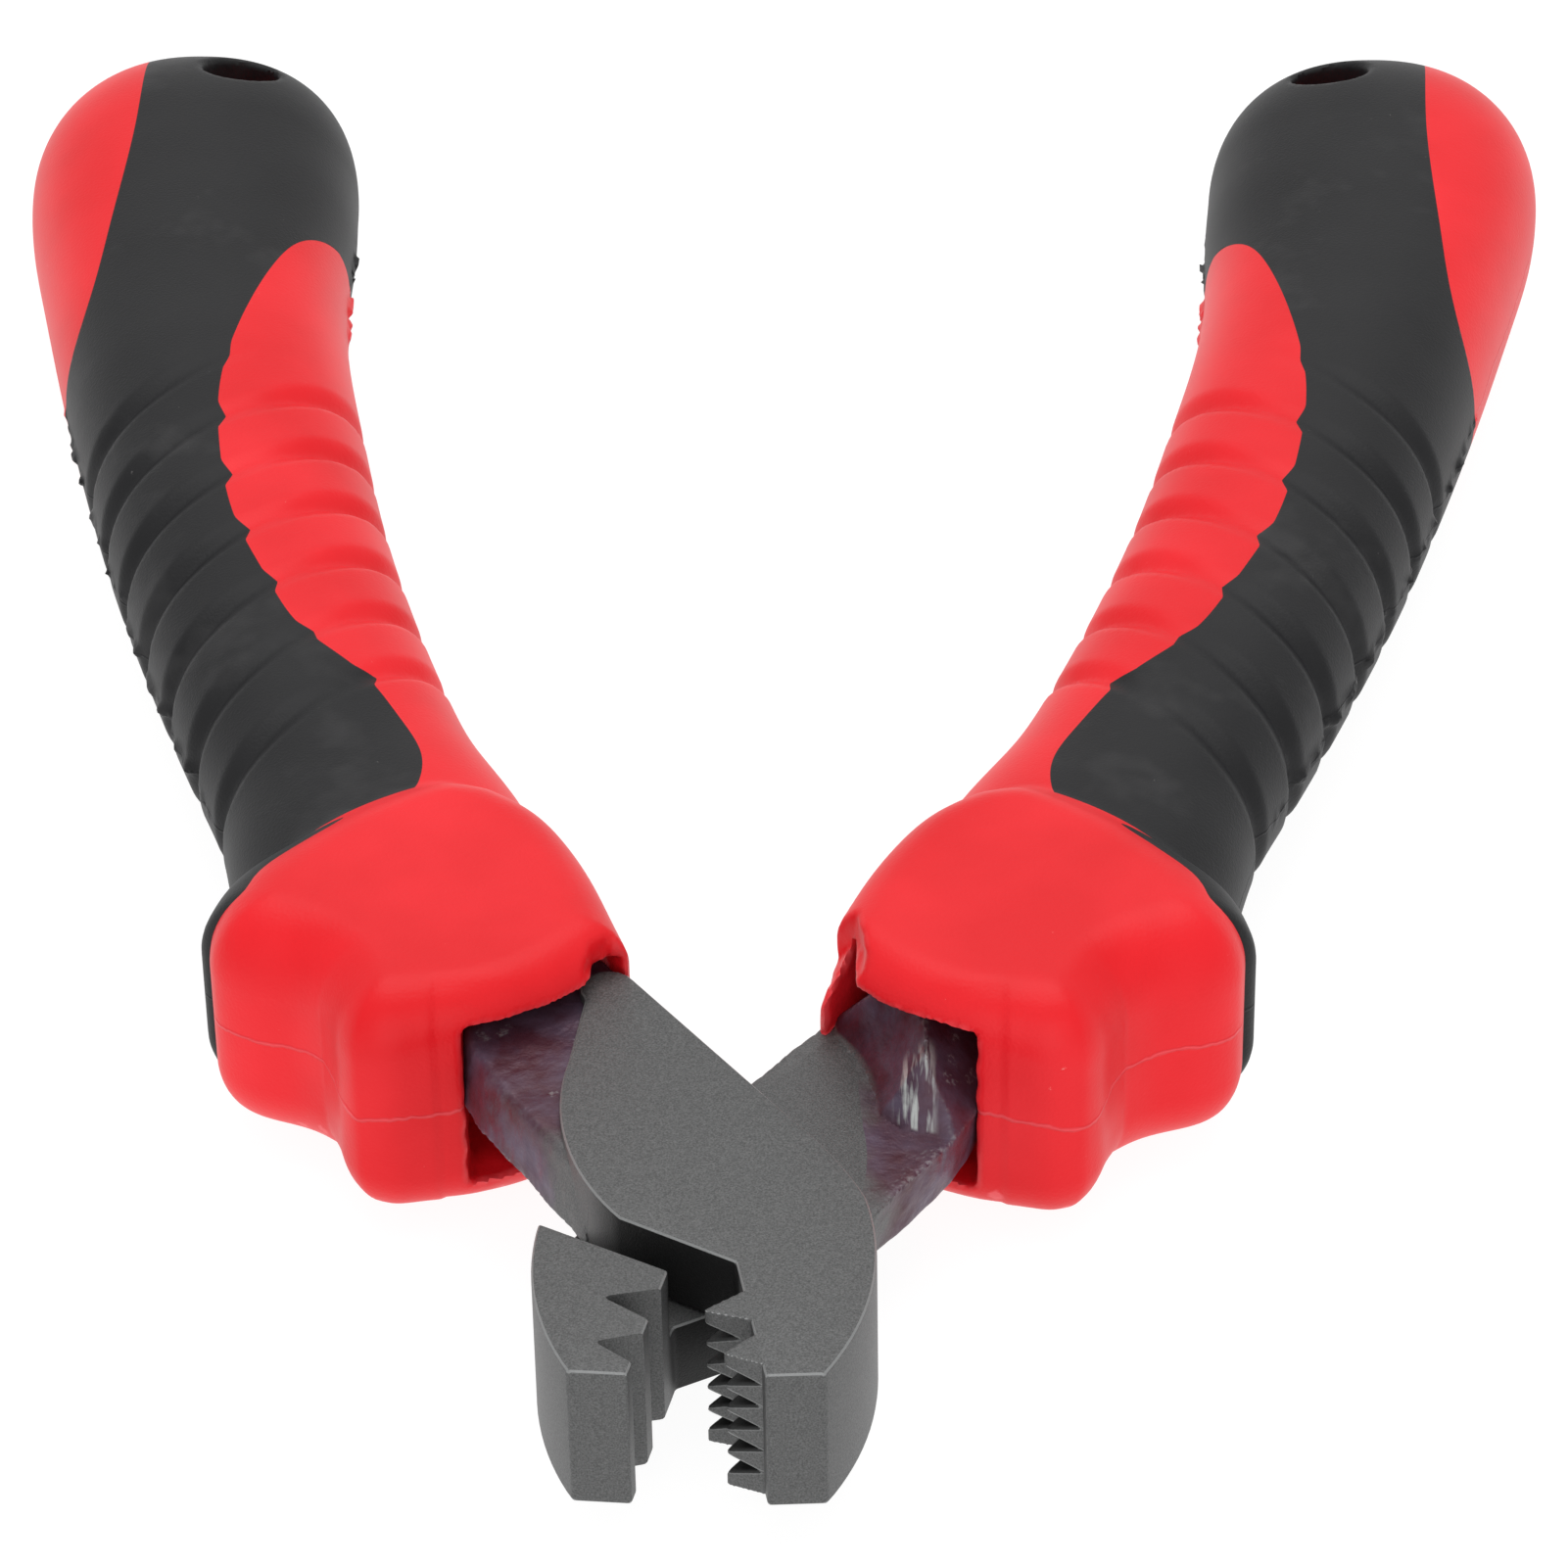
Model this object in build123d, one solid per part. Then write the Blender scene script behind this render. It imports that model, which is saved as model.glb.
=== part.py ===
"""Short crimping pliers with two-colour grips, built as separate solids.

Units are millimetres.  +Z is up, +Y runs from the jaws to the handle ends, and the
tool lies flat with its jaws open.  Shapes are drawn around the pivot axis, with
Z = 0 on the plane where the two levers lap, and are moved to their place at the end.
The left half is drawn, and the right half is the left one turned over about Y.
"""
import os
from collections import namedtuple
from math import cos, radians, sin, sqrt

from build123d import *

# ---- place of the pivot in the finished part ----
PIVOT_Y = -49.01        # the pivot lies this far from the middle of the length
LAP_PLANE_Z = 7.803       # height of the lap plane above the table

# ---- levers ----
HEAD_THICKNESS = 8.3    # both lapped plates together, and the jaws
LAP_GAP = 0.1           # between the two lapped plates
OPEN_HALF = 11.5        # each jaw is swung this many degrees from shut
JAW_LENGTH = 16.55      # pivot to jaw tip
JAW_WIDTH = 7.15        # working face to the widest point of one jaw
TIP_WIDTH = 2.85        # flat front face of one jaw
TIP_SLOPE = 0.4         # the front face slants back by this much
HEEL_RADIUS = 7.85      # plate corner next to the jaws
JAW_BACK_OFFSET = 8.15  # pivot to the straight back edge of the other jaw
JAW_BACK_ANGLE = 17.0   # slant of that back edge with the jaws shut
TANG_HALF_HEIGHT = 3.6  # forged arm beside the ground plate
TANG_DRAFT = 14.0       # forging draft of the arm's sides
TAIL_HALF_HEIGHT = 2.6  # arm inside the grip
TAIL_DEPTH = 68.0       # the arm ends this far behind the pivot
RIVET_RADIUS = 2.5
RIVET_CLEARANCE = 0.05  # radial, in the lever that turns

# ---- crimping teeth and nests, with the jaws shut ----
TOOTH_TIP_RADIUS = 0.35
FRONT_TOOTH_Y = -14.55
REAR_TOOTH_Y = -11.2
TOOTH_HEIGHT = 2.2
FRONT_TOOTH_HEIGHT = 1.75
TOOTH_HALF_BASE = 1.1
NEST_DEPTH = 2.45
FRONT_NEST_DEPTH = 2.0
NEST_HALF_MOUTH = 1.3
FRONT_NEST_HALF_MOUTH = 1.15
SERRATION_COUNT = 5
SERRATION_DEPTH = 1.25
SERRATION_MOUTH = 0.8

# ---- grips ----
SHELL = 1.7             # thickness of the soft overmould
TAIL_START = 101.0      # widest section of the tail bulb
TAIL_END = 114.2        # far end of the grip
HOLE_X = -34.3          # lanyard hole
HOLE_Y = 107.3
HOLE_RADIUS = 2.5
GROOVE_COUNT = 7
GROOVE_FIRST = 38.0
GROOVE_PITCH = 5.4
GROOVE_WIDTH = 0.9
GROOVE_DEPTH = 0.5
GROOVE_SLANT = 24.0
BOX_HALF_HEIGHT = 6.5   # front box of the guard, around the arm
FLANGE_HALF_HEIGHT = 7.2
SOCKET_HALF_HEIGHT = 4.9
RIM = 0.5               # the overmould shows this far outside the finger stop
RIM_HALF_HEIGHT = 6.4

Section = namedtuple("Section", "y x half_width half_height")
GRIP_SECTIONS = [
    Section(y=25.0, x=-17.5, half_width=8.6, half_height=6.3),
    Section(y=31.0, x=-19.3, half_width=8.3, half_height=6.0),
    Section(y=37.0, x=-21.6, half_width=7.55, half_height=5.9),
    Section(y=51.0, x=-26.6, half_width=7.7, half_height=6.1),
    Section(y=66.0, x=-30.8, half_width=8.2, half_height=6.6),
    Section(y=81.0, x=-34.1, half_width=8.7, half_height=7.1),
    Section(y=91.0, x=-35.7, half_width=9.5, half_height=7.5),
    Section(y=TAIL_START, x=-36.9, half_width=10.2, half_height=7.8),
]


def prism(plan, low, high):
    """A flat plan shape raised from one height to another."""
    return Pos(0, 0, low) * extrude(plan, amount=high - low)


def closed_polygon(*corners):
    return make_face(Polyline(*corners, close=True))


def turned_over(shape):
    """The same shape for the other side: half a turn about Y."""
    return Rot(0, 180, 0) * shape


# ---------------------------------------------------------------- levers
def plate_plan():
    """Outline of one lap plate with its jaw, drawn with the jaws shut."""
    heel = (0, -HEEL_RADIUS)
    tip_inner = (0, -JAW_LENGTH)
    tip_outer = (TIP_WIDTH, -JAW_LENGTH - TIP_SLOPE)
    jaw_side = (6.3, -10.8)
    shoulder = (JAW_WIDTH, -4.0)
    joint_side = (6.3, -0.95)
    inner_low = (4.65, 2.8)
    inner_high = (-1.5, 15.9)
    corner_top = (-2.8, 16.95)
    corner_outer = (-4.2, 14.8)
    outer_high = (-5.75, 9.8)
    outer_middle = (-6.9, 3.6)
    outer_low = (-5.1, -3.4)
    outline = (
        Line(heel, tip_inner)
        + Line(tip_inner, tip_outer)
        + ThreePointArc(tip_outer, jaw_side, shoulder)
        + ThreePointArc(shoulder, joint_side, inner_low)
        + Line(inner_low, inner_high)
        + ThreePointArc(inner_high, corner_top, corner_outer)
        + Line(corner_outer, outer_high)
        + ThreePointArc(outer_high, outer_middle, outer_low)
        + Line(outer_low, heel)
    )
    return make_face(outline)


def jaw_plan():
    """The part of the plate outline that has the full thickness of the head."""
    slope = radians(JAW_BACK_ANGLE)
    along = Vector(cos(slope), sin(slope))
    middle = Vector(sin(slope), -cos(slope)) * JAW_BACK_OFFSET
    far = middle + along * 14
    near = middle - along * 6
    in_front = closed_polygon(near, far, (far.X, -30), (near.X, -30))
    return plate_plan() & in_front


def arm_head_plan():
    """Forged arm beside the plate, from the joint into the mouth of the guard."""
    return closed_polygon(
        (-0.45, 10.6), (-5.8, 1.6), (-7.4, 0.6), (-9.6, 3.7), (-12.2, 7.7), (-12.8, 9.6),
        (-14.2, 17.0), (-17.0, 22.0), (-11.4, 24.1), (-4.3, 16.0),
    )


def arm_tail_plan():
    """Long bent arm inside the grip."""
    outer = Spline((-13.9, 16.5), (-18.2, 23.5), (-23.8, 35.0), (-29.6, 51.0), (-33.2, TAIL_DEPTH))
    end = Line((-33.2, TAIL_DEPTH), (-28.8, TAIL_DEPTH + 1.0))
    inner = Spline((-28.8, TAIL_DEPTH + 1.0), (-24.2, 51.0), (-18.0, 35.0), (-11.8, 23.5), (-7.8, 18.2))
    return make_face(outer + end + inner + Line((-7.8, 18.2), (-13.9, 16.5)))


def lap_pocket():
    """Room in the lower half of the left arm for the other lever's plate."""
    plan = closed_polygon(
        (-5.3, 24.0), (-5.7, 16.0), (-7.4, 12.9), (-8.0, 10.9), (-8.1, 9.3), (-9.5, 8.2), (-16.0, 6.2),
        (-16.0, -20.0), (16.0, -20.0), (16.0, 24.0),
    )
    return prism(plan, -HEAD_THICKNESS, LAP_GAP / 2)


def drafted_arm():
    """The forged arm, widest where its dies met."""
    half = extrude(arm_head_plan(), amount=TANG_HALF_HEIGHT, taper=TANG_DRAFT)
    return half + mirror(half, about=Plane.XY)


def arm_tail():
    return prism(arm_tail_plan(), -TAIL_HALF_HEIGHT, TAIL_HALF_HEIGHT)


def lever_blank():
    """Left arm, upper plate and right jaw in one forging, jaws open."""
    swing = Rot(0, 0, OPEN_HALF)
    half_head = HEAD_THICKNESS / 2
    plate = swing * prism(plate_plan(), LAP_GAP / 2, half_head)
    jaw = swing * prism(jaw_plan(), -half_head, half_head)
    arm = drafted_arm() - lap_pocket()
    return plate + jaw + arm + arm_tail()


def tooth_plan(centre_y, height, half_base, tip_radius):
    """A pointed tooth that stands on the working face of the right jaw."""
    low = (0.6, centre_y - half_base)
    high = (0.6, centre_y + half_base)
    wedge = closed_polygon(
        low, high, (0, centre_y + half_base), (-height, centre_y), (0, centre_y - half_base),
    )
    point = wedge.vertices().sort_by(Axis.X)[0]
    return fillet(point, tip_radius)


def serration(centre_y, height, z):
    """A V groove cut across a tooth, parallel to the head's faces."""
    groove = closed_polygon(
        (-height - 0.4, SERRATION_MOUTH / 2 * 1.3),
        (-height + SERRATION_DEPTH, 0),
        (-height - 0.4, -SERRATION_MOUTH / 2 * 1.3),
    )
    upright = Rot(90, 0, 0) * extrude(groove, amount=2.6, both=True)
    return Pos(0, centre_y, z) * upright


def teeth():
    """Both male teeth of the right jaw, with their rows of cross grooves."""
    half_head = HEAD_THICKNESS / 2
    pitch = HEAD_THICKNESS / (SERRATION_COUNT + 1)
    rows = []
    for centre_y, height in ((REAR_TOOTH_Y, TOOTH_HEIGHT), (FRONT_TOOTH_Y, FRONT_TOOTH_HEIGHT)):
        plan = tooth_plan(centre_y, height, TOOTH_HALF_BASE, TOOTH_TIP_RADIUS)
        row = prism(plan, -half_head, half_head)
        for number in range(SERRATION_COUNT):
            z = -half_head + pitch * (number + 1)
            row = row - serration(centre_y, height, z)
        rows.append(row)
    return Rot(0, 0, OPEN_HALF) * (rows[0] + rows[1])


def nests():
    """The two hollows of the left jaw that the teeth press a sleeve into."""
    rear = tooth_plan(REAR_TOOTH_Y, NEST_DEPTH, NEST_HALF_MOUTH, TOOTH_TIP_RADIUS)
    front = tooth_plan(FRONT_TOOTH_Y, FRONT_NEST_DEPTH, FRONT_NEST_HALF_MOUTH, TOOTH_TIP_RADIUS)
    both = prism(rear + front, -HEAD_THICKNESS, HEAD_THICKNESS)
    return Rot(0, 0, -OPEN_HALF) * both


def upper_lever():
    bore = Cylinder(RIVET_RADIUS, HEAD_THICKNESS * 2)
    return lever_blank() + teeth() - bore


def lower_lever():
    bore = Cylinder(RIVET_RADIUS + RIVET_CLEARANCE, HEAD_THICKNESS * 2)
    return turned_over(lever_blank()) - nests() - bore


def pivot_rivet():
    """Rivet ground flush with both faces of the head."""
    return Cylinder(RIVET_RADIUS, HEAD_THICKNESS)


# ---------------------------------------------------------------- grips
def axis_spline():
    return Spline(*[(s.x, s.y) for s in GRIP_SECTIONS])


def ellipse_at(position, heading, half_width, half_height):
    """An upright ellipse across the grip's axis."""
    across = Vector(heading.Y, -heading.X, 0)
    plane = Plane(origin=position, x_dir=across, z_dir=heading)
    return plane * Ellipse(half_width, half_height)


def grip_envelope(inset=0.0):
    """The grip's outer form, or the same form with a layer taken off."""
    axis = axis_spline()
    faces = []
    for section in GRIP_SECTIONS:
        point = Vector(section.x, section.y)
        heading = axis.tangent_at(axis.param_at_point(point))
        faces.append(ellipse_at(point, heading, section.half_width - inset, section.half_height - inset))
    widest = GRIP_SECTIONS[-1]
    heading = axis % 1
    start = Vector(widest.x, widest.y)
    length = (TAIL_END - TAIL_START - inset) / heading.Y
    for share in (0.35, 0.62, 0.82, 0.94):
        shrink = sqrt(1 - share * share)
        centre = start + heading * (length * share)
        half_width = (widest.half_width - inset) * shrink
        half_height = (widest.half_height - inset) * shrink
        faces.append(ellipse_at(centre, heading, half_width, half_height))
    faces.append(Vertex(*(start + heading * length)))
    return loft(faces)


def rounded_slab(plan, half_height, edge_radius):
    """A plan shape raised both ways from the lap plane, with rounded rims."""
    slab = prism(plan, -half_height, half_height)
    flat_faces = slab.faces().sort_by(Axis.Z)
    return fillet(flat_faces[0].edges() + flat_faces[-1].edges(), edge_radius)


def front_box():
    """Hard plastic box round the arm, open to the front as a socket."""
    front = Line((-17.6, 8.9), (-13.0, 8.8))
    lip = Spline((-13.0, 8.8), (-9.6, 10.6), (-6.4, 13.4), (-4.4, 15.6))
    inner = Spline((-4.4, 15.6), (-7.4, 22.1), (-10.0, 28.5), (-13.5, 34.0))
    back = Line((-13.5, 34.0), (-24.0, 34.0))
    outer = Line((-24.0, 34.0), (-20.6, 15.5))
    corner = ThreePointArc((-20.6, 15.5), (-19.6, 11.0), (-17.6, 8.9))
    return rounded_slab(make_face(front + lip + inner + back + outer + corner), BOX_HALF_HEIGHT, 2.6)


def finger_stop():
    """Rounded lobe on the outer side, in hard plastic."""
    nose = Spline((-18.0, 14.6), (-21.5, 13.5), (-24.8, 14.4), (-26.8, 17.8), (-27.4, 22.5))
    back = Spline((-27.4, 22.5), (-26.6, 26.6), (-24.4, 30.2), (-20.5, 32.2))
    closing = Line((-20.5, 32.2), (-18.0, 14.6))
    return rounded_slab(make_face(nose + back + closing), FLANGE_HALF_HEIGHT, 2.6)


def stop_rim():
    """Soft layer behind the finger stop, standing a little outside it."""
    side = -27.5 - RIM
    nose = Spline((-20.0, 19.0), (-24.8, 17.0), (side + 0.1, 19.6), (side, 24.0))
    back = Spline((side, 24.0), (-27.3, 28.4), (-25.4, 32.0), (-22.0, 35.0))
    closing = Line((-22.0, 35.0), (-20.0, 19.0))
    return rounded_slab(make_face(nose + back + closing), RIM_HALF_HEIGHT, 1.5)


def socket():
    """The open mouth of the guard, a little larger than the arm in it."""
    plan = closed_polygon(
        (-12.9, 6.0), (-13.7, 17.0), (-12.6, 22.5), (-9.9, 22.5), (-5.1, 15.6), (-3.0, 12.0), (-3.0, 6.0),
    )
    return prism(plan, -SOCKET_HALF_HEIGHT, SOCKET_HALF_HEIGHT)


def overmould_plan():
    """Where the soft layer covers the grip, seen from above."""
    neck = (-19.0, 27.4)
    front_lobe = Spline(neck, (-16.9, 31.5), (-18.6, 37.1), (-21.0, 41.7), (-24.1, 44.9))
    strip = Spline((-24.1, 44.9), (-28.0, 52.8), (-30.7, 62.9), (-31.2, 70.2), (-29.1, 82.1), (-24.6, 91.5))
    inner_side = Line((-24.6, 91.5), (-16.0, 97.0))
    far_side = Polyline((-16.0, 97.0), (-20.0, 120.0), (-40.4, 120.0))
    tail_patch = Spline((-40.4, 120.0), (-40.0, 100.0), (-40.6, 84.6), (-42.3, 78.0), (-46.0, 70.0))
    outer_side = Polyline((-46.0, 70.0), (-46.0, 27.4), neck)
    return make_face(front_lobe + strip + inner_side + far_side + tail_patch + outer_side)


def groove_bands(envelope):
    """Slanted finger grooves, as the material to take off the envelope."""
    skin = envelope - grip_envelope(GROOVE_DEPTH)
    axis = axis_spline()
    length = GRIP_SECTIONS[-1].y - GRIP_SECTIONS[0].y
    slab = Box(40, GROOVE_WIDTH, 40)
    bands = []
    for number in range(GROOVE_COUNT):
        share = (GROOVE_FIRST + GROOVE_PITCH * number - GRIP_SECTIONS[0].y) / length
        heading = axis % share
        across = Vector(heading.Y, -heading.X, 0)
        station = Plane(origin=axis @ share, x_dir=across, z_dir=(0, 0, 1))
        bands.append(skin & (station * Rot(0, 0, GROOVE_SLANT) * slab))
    return bands


def left_grip():
    """Returns the hard core and the soft overmould of the left grip."""
    envelope = grip_envelope()
    inner = grip_envelope(SHELL)
    red_guard = front_box() + finger_stop()
    region = prism(overmould_plan(), -12, 12)
    lanyard = Pos(HOLE_X, HOLE_Y, 0) * Cylinder(HOLE_RADIUS, 40)
    skin = (envelope - inner) & region
    soft = skin - red_guard + (stop_rim() - red_guard - envelope) - lanyard
    core = (envelope - skin) + red_guard - socket() - lanyard
    for band in groove_bands(envelope):
        core = core - band
        soft = soft - band
    return core - lever_blank(), soft


# ---------------------------------------------------------------- assembly
def build():
    core, soft = left_grip()
    nodes = {
        "upper_lever": upper_lever(),
        "lower_lever": lower_lever(),
        "pivot_rivet": pivot_rivet(),
        "left_grip_core": core,
        "left_grip_overmould": soft,
        "right_grip_core": turned_over(core),
        "right_grip_overmould": turned_over(soft),
    }
    os.makedirs("parts", exist_ok=True)
    place = Pos(0, PIVOT_Y, LAP_PLANE_Z)
    for name, shape in nodes.items():
        placed = place * shape
        solids = placed.solids()
        box = placed.bounding_box()
        print(name, len(solids), round(placed.volume, 1), box.min, box.max)
        export_step(placed, f"parts/{name}.step")


build()
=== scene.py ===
"""Short crimping pliers with two-colour grips: the looks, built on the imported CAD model.

Shapes are drawn in millimetres around the pivot axis, the way the CAD source draws
them, with Z = 0 on the lap plane, and become metres in the shared frame when a mesh
is made.  The left half is drawn, and the right half is the same turned over about Y.
"""
from collections import namedtuple
from math import cos, pi, radians, sin, tan

import bmesh
import bpy
import numpy as np
from mathutils import Matrix, Vector


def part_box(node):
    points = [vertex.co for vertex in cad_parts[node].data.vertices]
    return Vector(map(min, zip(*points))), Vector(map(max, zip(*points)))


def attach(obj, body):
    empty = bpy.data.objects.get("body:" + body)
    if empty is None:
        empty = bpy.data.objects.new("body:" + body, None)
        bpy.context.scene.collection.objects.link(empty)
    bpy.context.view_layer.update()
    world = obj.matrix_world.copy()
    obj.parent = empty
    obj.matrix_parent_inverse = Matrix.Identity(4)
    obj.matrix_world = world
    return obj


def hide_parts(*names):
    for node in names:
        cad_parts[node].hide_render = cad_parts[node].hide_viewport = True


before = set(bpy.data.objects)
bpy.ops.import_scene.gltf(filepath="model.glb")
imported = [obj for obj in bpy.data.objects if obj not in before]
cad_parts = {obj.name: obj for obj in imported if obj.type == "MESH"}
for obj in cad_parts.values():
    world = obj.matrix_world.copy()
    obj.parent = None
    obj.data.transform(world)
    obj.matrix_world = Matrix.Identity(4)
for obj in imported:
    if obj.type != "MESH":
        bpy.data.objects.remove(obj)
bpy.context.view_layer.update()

rivet_low, rivet_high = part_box("pivot_rivet")
PIVOT = (Vector(rivet_low) + Vector(rivet_high)) / 2
MM = 0.001

# ---- camera, from the photograph's viewing angle ----
CAMERA_FROM_PIVOT = (15.512, -256.636, 207.111)
CAMERA_PITCH = 35.0      # looks down by this much
CAMERA_YAW = -2.567
CAMERA_ROLL = 1.062
LENS = 150.95
SENSOR = 36.0

# ---- meshing ----
GRIP_STEP = 0.28
INNER_STEP = 0.8         # for the hidden inside of the soft layer
ARM_STEP = 0.2
TOOTH_STEP = 0.09
PLAN_STEP = 0.2

# ---- levers ----
HEAD_HALF = 4.15         # half the thickness of the head
LAP_HALF_GAP = 0.05
OPEN_HALF = 11.5         # each jaw is swung this many degrees from shut
EDGE_BEVEL = 0.24        # taken off every sharp edge of the head
JAW_BACK_SLANT = 17.0    # degrees, of the line where the plate becomes a jaw of full height
JAW_BACK_OFFSET = 8.15   # distance of that line from the pivot
ARM_HALF_HEIGHT = 3.6
ARM_SLOPE = 0.15         # the whole side of the forged arm leans in by this much per height
MILLED_ARM_SLOPE = 0.9   # and its milled side by this much
POCKET_SLOPE = 0.8       # the pocket's side wall by this much, and less inside the guard
INNER_POCKET_SLOPE = 0.42
TAIL_HALF_HEIGHT = 2.6
RIVET_RADIUS = 2.5
TOOTH_PITCH = 1.383      # between the grooves across a tooth
FRONT_TOOTH_Y = -14.55
REAR_TOOTH_Y = -11.2
TOOTH_HEIGHT = 2.2
FRONT_TOOTH_HEIGHT = 1.75
TOOTH_HALF_BASE = 1.1
TOOTH_ROOT = 0.8         # the teeth are sunk this far into the jaw
GROOVE_SLOPE = 0.36      # half the width of a groove across a tooth, per depth
GROOVE_DEPTH = 1.55      # from the tip of the tooth
Nest = namedtuple("Nest", "y depth half_mouth")
NESTS = [
    Nest(y=REAR_TOOTH_Y, depth=2.45, half_mouth=1.2),
    Nest(y=FRONT_TOOTH_Y, depth=2.0, half_mouth=1.12),
]
THROUGH = 12.0           # half the height of a cutter that goes right through

# ---- grip tube ----
Section = namedtuple("Section", "y x half_width half_height")
GRIP_SECTIONS = [
    Section(y=20.0, x=-16.2, half_width=9.0, half_height=6.2),
    Section(y=26.0, x=-17.7, half_width=8.6, half_height=6.1),
    Section(y=31.0, x=-19.3, half_width=8.3, half_height=6.0),
    Section(y=36.0, x=-21.2, half_width=7.6, half_height=5.9),
    Section(y=41.0, x=-23.1, half_width=7.5, half_height=5.95),
    Section(y=51.0, x=-26.5, half_width=7.7, half_height=6.1),
    Section(y=61.0, x=-29.45, half_width=8.0, half_height=6.4),
    Section(y=71.0, x=-31.9, half_width=8.35, half_height=6.75),
    Section(y=81.0, x=-34.1, half_width=8.7, half_height=7.1),
    Section(y=91.0, x=-35.7, half_width=9.45, half_height=7.5),
    Section(y=96.0, x=-36.3, half_width=9.97, half_height=7.7),
    Section(y=101.0, x=-36.85, half_width=10.2, half_height=7.8),
    Section(y=107.0, x=-37.0, half_width=10.2, half_height=7.8),
    Section(y=114.2, x=-36.9, half_width=10.2, half_height=7.8),
]
TAIL_START = 101.0
SQUARENESS = 2.25        # exponent of the cross-section
TAIL_SQUARENESS = 2.3
SKIN = 1.7               # thickness of the soft overmould
HOLE = (-34.3, 107.5)
HOLE_RADIUS = 2.35

# ---- ribs ----
RIB_COUNT = 7
RIB_FIRST = 38.0
RIB_PITCH = 5.5
RIB_DEPTH = 0.74
RIB_SLANT = 24.0
RIB_VALLEY = 1.2         # crest to the deepest point
RIB_WIDTH = 2.6          # crest to the soft shoulder behind

# ---- guard ----
GUARD_HALF_HEIGHT = 7.1
STOP_HALF_HEIGHT = 7.2
GUARD_ROUNDING = 2.8
STOP_ROUNDING = 4.2
RIM = 0.7                # the overmould shows this far outside the finger stop
RIM_DROP = 0.4           # and stays this far below its top
SOCKET_HALF_HEIGHT = 4.9

# ---- the boxes that the surfaces are looked for in ----
GRIP_BOX = ((-49.0, 6.5, -8.6), (-3.0, 115.5, 8.6))
GUARD_BOX = ((-29.0, 7.0, -8.6), (-3.0, 32.5, 8.6))
ARM_BOX = ((-18.5, -2.2, -4.2), (0.4, 25.5, 4.2))
TEETH_BOX = ((-0.5, -17.2, -4.4), (5.0, -8.5, 4.4))


# ================================================================ curves and fields
def spline(at, knots, values):
    """Natural cubic spline through values at knots, read at the given places."""
    knots = np.asarray(knots, float)
    values = np.asarray(values, float)
    gap = np.diff(knots)
    count = len(knots)
    system = np.eye(count)
    right = np.zeros(count)
    for i in range(1, count - 1):
        system[i, i - 1:i + 2] = gap[i - 1], 2 * (gap[i - 1] + gap[i]), gap[i]
        slopes = np.diff(values[i - 1:i + 2]) / gap[i - 1:i + 1]
        right[i] = 6 * (slopes[1] - slopes[0])
    bend = np.linalg.solve(system, right)
    k = np.clip(np.searchsorted(knots, at) - 1, 0, count - 2)
    a = (knots[k + 1] - at) / gap[k]
    b = 1 - a
    curve = ((a ** 3 - a) * bend[k] + (b ** 3 - b) * bend[k + 1]) * gap[k] ** 2 / 6
    return a * values[k] + b * values[k + 1] + curve


def smooth_line(points, spacing=0.4):
    """Closely spaced points on a smooth curve through the given ones."""
    points = np.array(points, float)
    chord = np.r_[0, np.cumsum(np.linalg.norm(np.diff(points, axis=0), axis=1))]
    at = np.linspace(0, chord[-1], max(3, int(chord[-1] / spacing)))
    return np.c_[spline(at, chord, points[:, 0]), spline(at, chord, points[:, 1])]


def plan_distance(points, outline):
    """Signed distance in plan to a closed outline, negative inside."""
    nearest = np.full(len(points), 1e9)
    inside = np.zeros(len(points), bool)
    for start, end in zip(outline, np.roll(outline, -1, axis=0)):
        edge = end - start
        length_squared = edge @ edge
        if length_squared < 1e-12:
            continue
        offset = points - start
        share = np.clip(offset @ edge / length_squared, 0, 1)
        gap = offset - share[:, None] * edge
        nearest = np.minimum(nearest, (gap ** 2).sum(axis=1))
        if edge[1] != 0:
            spans = (start[1] > points[:, 1]) != (end[1] > points[:, 1])
            crossing = start[0] + (points[:, 1] - start[1]) * edge[0] / edge[1]
            inside ^= spans & (points[:, 0] < crossing)
    return np.where(inside, -1, 1) * np.sqrt(nearest)


class PlanTable:
    """A quantity worked out on a fine grid in plan and read back anywhere."""

    def __init__(self, low, high, function):
        self.low = np.array(low, float)
        xs = np.arange(low[0], high[0] + PLAN_STEP, PLAN_STEP)
        ys = np.arange(low[1], high[1] + PLAN_STEP, PLAN_STEP)
        grid = np.stack(np.meshgrid(xs, ys, indexing="ij"), axis=-1)
        self.values = function(grid.reshape(-1, 2)).reshape(len(xs), len(ys))

    def __call__(self, points):
        place = (points[:, :2] - self.low) / PLAN_STEP
        limit = np.array(self.values.shape) - 1.001
        place = np.clip(place, 0, limit)
        cell = place.astype(int)
        share = place - cell
        i, j = cell.T
        s, t = share.T
        low = self.values[i, j] * (1 - s) + self.values[i + 1, j] * s
        high = self.values[i, j + 1] * (1 - s) + self.values[i + 1, j + 1] * s
        return low * (1 - t) + high * t


def smooth_union(a, b, reach):
    """Joins two distance fields with a fillet."""
    share = np.clip(0.5 + 0.5 * (b - a) / reach, 0, 1)
    return b * (1 - share) + a * share - reach * share * (1 - share)


def smooth_cut(a, b, reach):
    """Takes field b out of field a, with rounded edges."""
    return -smooth_union(-a, b, reach)


def slab(plan, height, half_height, rounding):
    """Distance to a flat plan shape with height, with rounded rims."""
    out_plan = plan + rounding
    out_height = np.abs(height) - half_height + rounding
    outside = np.hypot(np.maximum(out_plan, 0), np.maximum(out_height, 0))
    return outside + np.minimum(np.maximum(out_plan, out_height), 0) - rounding


def smooth_step(value, start, end):
    share = np.clip((value - start) / (end - start), 0, 1)
    return share * share * (3 - 2 * share)


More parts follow.
